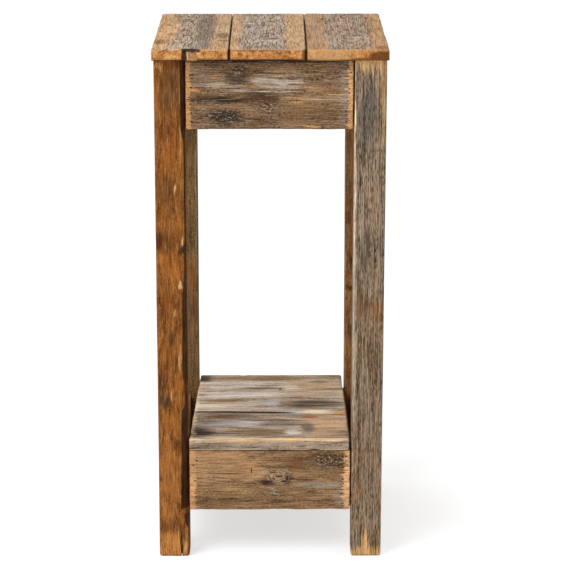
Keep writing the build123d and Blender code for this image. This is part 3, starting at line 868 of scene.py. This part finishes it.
shelfFrontLook = {
    **shelfLook,
    "seed": 17.0,
    "pith": (0.0, -110.0, 120.0),
    "pithSlope": (0.02, 0.05),
    "blotch": (70.0, 11.0),
    "grey": ("#634b34", "#dec6ad"),
    "checks": ("#35251a", 0.35),
    "fresh": ("#a0784f", "#e0b88c"),
    "rub": ("#ecca9f", 1.2, 0.45),
    "patches": onShelf(
        ((84, -105), (32, 70, 8), "#d3ac85", 0.95),  # tan right end
        ((56, -59), (12, 8, 8), "#b97242", 1.0),
        ((-72, -57), (28, 11, 8), "#8e6840", 1.0),  # brown behind the seam
        ((-56, -91), (56, 15, 8), "#dacfca", 1.0),  # bluish grey
        ((-80, -91), (20, 6, 8), "#cfc9cc", 1.0),
        ((14, -92), (30, 12, 8), "#8c7f75", 1.0),
        ((-18, -136), (48, 17, 8), "#816442", 1.0),
        ((-107, -136), (22, 22, 8), "#22150a", 1.0),  # dark front corner
        ((-66, -158), (24, 6, 8), "#c0b3a6", 0.9),
        ((33, -133), (11, 16, 8), "#e0d6ca", 1.0),
        ((56, -112), (10, 24, 8), "#796450", 1.0),
        ((0, -173, 171), (150, 3, 9), "#85725f", 0.6),  # grey edge
        ((-82, -141), (36, 5, 8), "#3b2a1a", 0.9),
        ((0, -167, 183), (150, 6, 3.6), "#f3d2a6", 1.0),  # rubbed nose, lightened further by a painted highlight along the front arris
        ((-30, -173, 180), (100, 3, 1.6), "#d99a55", 0.9),
        # painted highlight along the left end's arris, which faces the light
        ((-118, -100), (4.5, 80, 5), "#ffe0b4", 1.0),
        ((48, -172, 171), (8, 3, 2.0), "#3a2b1e", 1.0),
    ),
    "cracks": onShelf(((-85, -34.2), (46, 3.0, 6)), ((-14, -37.4), (56, 3.4, 6))),
}

shelfRearLook = {
    **shelfLook,
    "seed": 21.0,
    "pith": (-20.0, 60.0, 140.0),
    "pithSlope": (0.02, -0.05),
    "blotch": (90.0, 17.0),
    "grey": ("#866848", "#fbe8d4"),
    "checks": ("#35251a", 0.3),
    "fresh": ("#a0784f", "#e2bd92"),
    "rub": ("#ecca9f", 1.0, 0.3),
    "knots": onShelf(((14, 88), (6, 8, 10), (3, 4, 6), "#5f452f")),
    "patches": onShelf(
        ((-20, 150), (100, 13, 8), "#94704a", 1.0),  # brown rear edge
        ((-106, 148), (13, 18, 8), "#624b32", 1.0),
        ((66, 116), (46, 34, 8), "#d6b48f", 0.9),
        ((76, 128), (16, 9, 8), "#958472", 1.0),
        ((-46, 116), (52, 16, 8), "#e2d4c8", 1.0),
        ((-52, 62), (52, 22, 8), "#f8eadb", 1.0),
        ((24, 104), (18, 16, 8), "#f4dcc6", 1.0),
        ((-18, 94), (34, 5, 8), "#765536", 1.0),  # streak that ends at the knot
        ((72, 79), (38, 3.0, 8), "#efb468", 1.0),
        ((66, 60), (44, 14, 8), "#d2b89c", 1.0),
        ((60, 6), (54, 26, 8), "#6d573e", 0.9),  # dark patch
        ((72, 18), (40, 6, 8), "#4a3826", 1.0),
        ((50, 0), (34, 5, 8), "#564330", 1.0),
        ((2, 12), (13, 20, 8), "#d0cdcc", 1.0),
        ((-74, 26), (34, 7, 8), "#9a6c3e", 1.0),
        ((-64, -4), (52, 20, 8), "#f0dcc4", 1.0),
        ((29, -32), (18, 8, 8), "#cfdcd9", 1.0),  # bluish white at the seam
        ((66, -29), (22, 9, 8), "#fbe3bd", 1.0),
        ((104, -36), (12, 8, 8), "#e0a255", 1.0),
        # painted highlight along the left end's arris, which faces the light
        ((-118, 30), (4.5, 140, 5), "#ffe6c2", 1.0),
        ((117, 60), (4.0, 110, 5), "#f0c593", 1.0),
    ),
    "cracks": onShelf(((-85, -31.2), (46, 3.0, 6)), ((-14, -34.4), (56, 3.4, 6))),
}

topBoard = {"grain": lengthwaysGrain, "slot": "top_board_wood"}
leg = {"grain": uprightGrain, "slot": "grey_leg_wood"}
shelfBoard = {"grain": sidewaysGrain, "slot": "shelf_board_wood"}


def boardOf(kind, finish, look, **others):
    return {**kind, "finish": finish, "look": look, **others}


# Sheltered faces, which something covers, go from 0 for -x and 1 for +x to 5 for +z
boards = {
    "top_board_left": boardOf(topBoard, "greyedSawnPineTopLeft", topLeftLook, sheltered=(1, 4)),
    "top_board_middle": boardOf(topBoard, "greyedSawnPineTopMiddle", topMiddleLook, sheltered=(0, 1, 4)),
    "top_board_right": boardOf(topBoard, "greyedSawnPineTopRight", topRightLook, sheltered=(0, 4)),
    "front_left_leg": boardOf(
        leg,
        "brownSawnPineLegWithBark",
        frontLeftLegLook,
        slot="brown_leg_wood",
        barkCorner=(-0.121, -0.172),
    ),
    "front_right_leg": boardOf(leg, "greyedSawnPineLeg", frontRightLegLook),
    "rear_left_leg": boardOf(leg, "greyBrownSawnPineLeg", rearLeftLegLook),
    "rear_right_leg": boardOf(leg, "brownSawnPineLeg", rearRightLegLook),
    "shelf_board_front": boardOf(shelfBoard, "weatheredSawnPineShelfFront", shelfFrontLook),
    "shelf_board_rear": boardOf(shelfBoard, "weatheredSawnPineShelfRear", shelfRearLook),
}

upperApronLook = {
    "pith": (0.0, 60.0, 690.0),
    "ringShade": 0.3,
    "ringWidth": 5.0,
    "ringDrift": 4.0,
    "wander": 2.5,
    "fibre": (26.0, 1.2),
    "shades": (1.8, 0.4, 0.9, 2.2),
    "grey": ("#422b19", "#a48260"),
    "fresh": ("#a3713f", "#e6ae76"),
    "freshEnds": 7.0,
    "rub": ("#a98358", 0.8, 0.15),
    "sawn": True,
    "pale": ("#cdb79c", 0.35),
}

lowerApronLook = {
    **upperApronLook,
    "pith": (0.0, 60.0, 118.0),
    "grey": ("#4f3622", "#b38c62"),
    "shades": (1.6, 0.5, 1.1, 1.6),
    "fresh": ("#ab7740", "#fac285"),
    "freshEnds": 9.0,
    "pale": ("#d2b292", 0.3),
}

upperFrontMarks = {
    "patches": onApron(
        ((3, 714), (42, 9, 4), "#c4b2a0", 1.0),  # pale weathered streaks
        ((14, 706), (36, 9, 3), "#b8a694", 1.0),
        ((4, 722), (30, 9, 2), "#b09c88", 0.9),
        ((-70, 707), (30, 9, 3), "#b3a08d", 1.0),
        ((-40, 701), (26, 9, 2), "#b3a08d", 0.9),
        ((-96, 722), (24, 9, 14), "#8b7660", 0.6),
        ((-74, 687), (44, 9, 7), "#33210f", 1.0),
        ((-14, 691), (28, 9, 12), "#533c25", 1.0),
        ((-48, 722), (16, 9, 14), "#46382c", 0.9),
        ((-66, 662), (24, 9, 14), "#3f342a", 1.0),
        ((62, 664), (56, 9, 20), "#8a6642", 0.6),
        ((-20, 655), (16, 9, 9), "#6b4c2c", 0.7),
        ((104, 690), (6, 9, 50), "#9c8e7e", 0.7),
        ((114, 695), (4.5, 30, 60), "#eab47a", 1.0),  # fresh right end
        ((95, 695), (13, 6, 0.9), "#e8ac62", 1.0),  # orange splinters
        ((32, 683.5), (9, 6, 0.9), "#d69c58", 1.0),
        ((61, 648.5), (11, 6, 1.7), "#e2a85e", 1.0),
        ((71, 736), (9, 6, 1.0), "#d9a25c", 1.0),
        ((-108, 700), (12, 6, 3), "#d0965a", 1.0),
        ((-80, 718), (6, 6, 2), "#c98a4c", 0.9),
        ((66, 688), (46, 6, 0.8), "#b5a28e", 0.8),
        ((0, 742.5), (150, 9, 2.0), "#2a1c10", 0.9),  # painted shadow under the top
        ((-5, 700), (34, 6, 1.2), "#d0c2b4", 0.9),
        ((5, 699), (4, 6, 2), "#5c3018", 1.0),
        ((60, 660), (4, 6, 3), "#42301c", 0.9),
    ),
    "torn": onApron(
        ((-46, 730), (10, 9, 8)),
        ((-64, 662), (22, 9, 14)),
        ((-4, 676), (12, 9, 9)),
    ),
}

lowerFrontMarks = {
    "knots": onApron(((12.5, 125.5), (13, 14, 9), (6, 9, 1.5), "#33241a")),
    "patches": onApron(
        ((-66, 142), (62, 9, 26), "#bc9065", 0.9),
        ((25, 121), (6, 9, 10), "#2e1c0d", 1.0),  # hollows beside and below the knot
        ((-6, 115), (12, 9, 6), "#3d2714", 1.0),
        ((6, 139), (18, 9, 1.2), "#3f2a16", 0.9),
        ((-10, 132), (8, 9, 5), "#b39774", 0.9),
        ((40, 145), (20, 9, 10), "#744a2a", 0.8),  # reddish brown above the knot
        ((82, 150), (32, 9, 14), "#57412a", 0.9),
        ((66, 112), (36, 9, 6), "#a8947e", 0.9),
        ((4, 100), (8, 9, 6), "#b6a48e", 0.7),
        ((46, 120), (24, 6, 1.0), "#42301c", 0.9),
        ((-84, 84), (34, 9, 9), "#6f5033", 0.7),
        ((102, 92), (8, 9, 20), "#a59584", 0.6),
        ((113, 118), (6, 30, 60), "#fac28e", 1.0),  # fresh right end
        ((0, 165), (150, 9, 1.8), "#2a1c10", 0.9),  # painted shadow under the shelf
    ),
    "cracks": (
        ((25, -171, 122), (2.0, 4, 5.0)),  # hollow beside the knot
        ((20, -171, 117), (5.5, 4, 1.6)),
        ((-3, -171, 116.5), (7, 4, 1.8)),
        ((5, -171, 131.5), (6, 4, 0.8)),
        ((-68, -171, 128.5), (42, 4, 0.6)),
        ((-28, -171, 134), (0.8, 4, 6)),
        ((-14, -171, 141), (13, 4, 0.6)),
    ),
    "torn": onApron(((84, 150), (28, 9, 12)), ((4, 99), (8, 9, 6))),
}

for level, levelLook, frontMarks in (
    ("upper", upperApronLook, upperFrontMarks),
    ("lower", lowerApronLook, lowerFrontMarks),
):
    for index, side in enumerate(("front", "rear", "left", "right")):
        sideways = side in ("left", "right")
        marks = frontMarks if side == "front" else {}
        seed = 25.0 + 3 * index + (13 if level == "lower" else 0)
        boards[f"{level}_{side}_apron"] = {
            "grain": lengthwaysGrain if sideways else sidewaysGrain,
            "slot": "apron_wood",
            "finish": f"roughSawnPine{level.capitalize()}{side.capitalize()}Apron",
            "look": {**levelLook, "faceAxis": 2, "seed": seed, **marks},
        }

for number, (node, board) in enumerate(boards.items()):
    wornPiece(node, number + 1, board, agedPine(board["finish"], node, board["grain"], board["look"]))
print("worn boards made:", len(boards))


# Hidden battens and the nails keep their own shapes

battenLook = {
    "dark": "#6d4e30",
    "light": "#bb976c",
    "stain": "#6a4c2f",
    "fibre": (40.0, 2.2),  # mm long and wide
    "blotch": (90.0, 20.0),  # mm
}

nailLook = {"steel": "#1f1712", "rust": "#4a2b18", "grain": 1.1}  # mm between rust grains


def roughSawnPineBatten():
    # Rough-sawn pine that was never outdoors: even tan and woolly to the light
    material, tree = newFinish("roughSawnPineBatten")
    place = placeInMillimetres(tree)
    fibre = streaks(tree, place, uprightGrain, *battenLook["fibre"], 2.0, 3.0, 0.6)
    blotch = streaks(tree, place, uprightGrain, *battenLook["blotch"], 5.0)
    tone = addNode(tree, "MapRange", fibre, 0.3, 0.7)
    pine = {0: tone, 6: battenLook["dark"], 7: battenLook["light"]}
    colour = addNode(tree, "Mix", pine, data_type="RGBA")
    stained = addNode(tree, "MapRange", blotch, 0.5, 0.75, 0.0, 0.5)
    colour = addNode(tree, "Mix", {0: stained, 6: colour, 7: battenLook["stain"]}, data_type="RGBA")
    surface = {
        "Base Color": colour,
        "Roughness": addNode(tree, "MapRange", fibre, 0.3, 0.7, 0.92, 0.78),
        "Normal": addNode(tree, "Bump", {"Height": fibre, "Distance": 0.0008, "Strength": 0.7}),
        "IOR": 1.45,
        "Specular IOR Level": 0.3,
    }
    addNode(tree, "OutputMaterial", addNode(tree, "BsdfPrincipled", surface))
    return material


def rustedWireNail():
    # Drawn steel wire gone dark with rust: brown-black, with a dull sheen where the rust is thin
    material, tree = newFinish("rustedSteelWireNail")
    coordinates = addNode(tree, "TexCoord").outputs["Object"]
    look = {"Vector": coordinates, "Scale": 1000 / nailLook["grain"], "Detail": 3.0}
    rust = addNode(tree, "TexNoise", look)
    amount = addNode(tree, "MapRange", rust, 0.35, 0.65)
    rusted = {0: amount, 6: nailLook["steel"], 7: nailLook["rust"]}
    surface = {
        "Base Color": addNode(tree, "Mix", rusted, data_type="RGBA"),
        "Metallic": addNode(tree, "MapRange", rust, 0.35, 0.65, 0.7, 0.1),
        "Roughness": addNode(tree, "MapRange", rust, 0.35, 0.65, 0.5, 0.85),
        "Normal": addNode(tree, "Bump", {"Height": rust, "Distance": 0.0002, "Strength": 0.6}),
    }
    addNode(tree, "OutputMaterial", addNode(tree, "BsdfPrincipled", surface))
    return material


battenWood = roughSawnPineBatten()
nailSteel = rustedWireNail()
for node, part in nodes.items():
    if node not in boards:
        part.data.materials.clear()
        part.data.materials.append(nailSteel if "nails" in node else battenWood)
print("battens and nails finished")


# Stage, light and camera

paper = {
    "bounce": "#e7e7e7",  # what the floor throws back on the object
    "shaded": "#cbcbcb",  # the share of the floor that takes shadow
    "glow": 0.63,  # and the rest, so that the floor is white where nothing shades it
    "size": 60.0,  # m
}

light = {
    "skyLevel": 0.62,
    "keyPower": 105.0,  # W
    "keySize": 2.6,  # m
    "keyPlace": (-2.2, -2.6, 3.4),
    "keyAim": (0.0, 0.0, 0.4),
}

view = {
    "place": (0.0045, -3.6, 1.282),
    "tiltDown": 14.24,  # degrees
    "turnRight": 0.342,
    "lens": 152.75,  # mm
    "sensor": 36.0,
}


def shareShown(tree):
    # 1 for what the camera sees, also in a mirror or through glass, and 0 for what lights the object
    rays = addNode(tree, "LightPath").outputs
    beyond = addNode(tree, "Math", rays["Is Glossy Ray"], rays["Is Transmission Ray"], operation="MAXIMUM")
    return addNode(tree, "Math", rays["Is Camera Ray"], beyond, operation="MAXIMUM")


def whitePaperFloor():
    # Seamless white paper: matt, and plain white wherever nothing shades it
    material, tree = newFinish("mattWhitePaper")
    bounce = addNode(tree, "BsdfDiffuse", paper["bounce"])
    shaded = addNode(tree, "BsdfDiffuse", paper["shaded"])
    glow = addNode(tree, "Emission", "#ffffff", paper["glow"])
    shown = addNode(tree, "AddShader", shaded, glow)
    addNode(tree, "OutputMaterial", addNode(tree, "MixShader", shareShown(tree), bounce, shown))
    half = paper["size"] / 2
    mesh = bpy.data.meshes.new("floor")
    corners = [(-half, -half, 0), (half, -half, 0), (half, half, 0), (-half, half, 0)]
    mesh.from_pydata(corners, [], [(0, 1, 2, 3)])
    mesh.materials.append(material)
    floor = bpy.data.objects.new("floor", mesh)
    scene.collection.objects.link(floor)


def whiteSky():
    world = bpy.data.worlds.new("whiteStudio")
    world.use_nodes = True
    tree = world.node_tree
    tree.nodes.clear()
    level = addNode(tree, "MapRange", shareShown(tree), 0.0, 1.0, light["skyLevel"], 1.0)
    addNode(tree, "OutputWorld", addNode(tree, "Background", {"Color": "#ffffff", "Strength": level}))
    scene.world = world


def softKeyLamp():
    lamp = bpy.data.lights.new("keyLamp", "AREA")
    lamp.shape = "DISK"
    lamp.size = light["keySize"]
    lamp.energy = light["keyPower"]
    holder = bpy.data.objects.new("keyLamp", lamp)
    scene.collection.objects.link(holder)
    holder.location = light["keyPlace"]
    aim = Vector(light["keyAim"]) - Vector(light["keyPlace"])
    holder.rotation_euler = aim.to_track_quat("-Z", "Y").to_euler()


def placeCamera():
    camera = bpy.data.cameras.new("camera")
    camera.sensor_width = view["sensor"]
    camera.lens = view["lens"]
    holder = bpy.data.objects.new("camera", camera)
    scene.collection.objects.link(holder)
    holder.location = view["place"]
    holder.rotation_euler = (math.radians(90 - view["tiltDown"]), 0, math.radians(-view["turnRight"]))
    scene.camera = holder


whitePaperFloor()
whiteSky()
softKeyLamp()
placeCamera()
scene.view_settings.view_transform = "Standard"
print("stage, light and camera set")
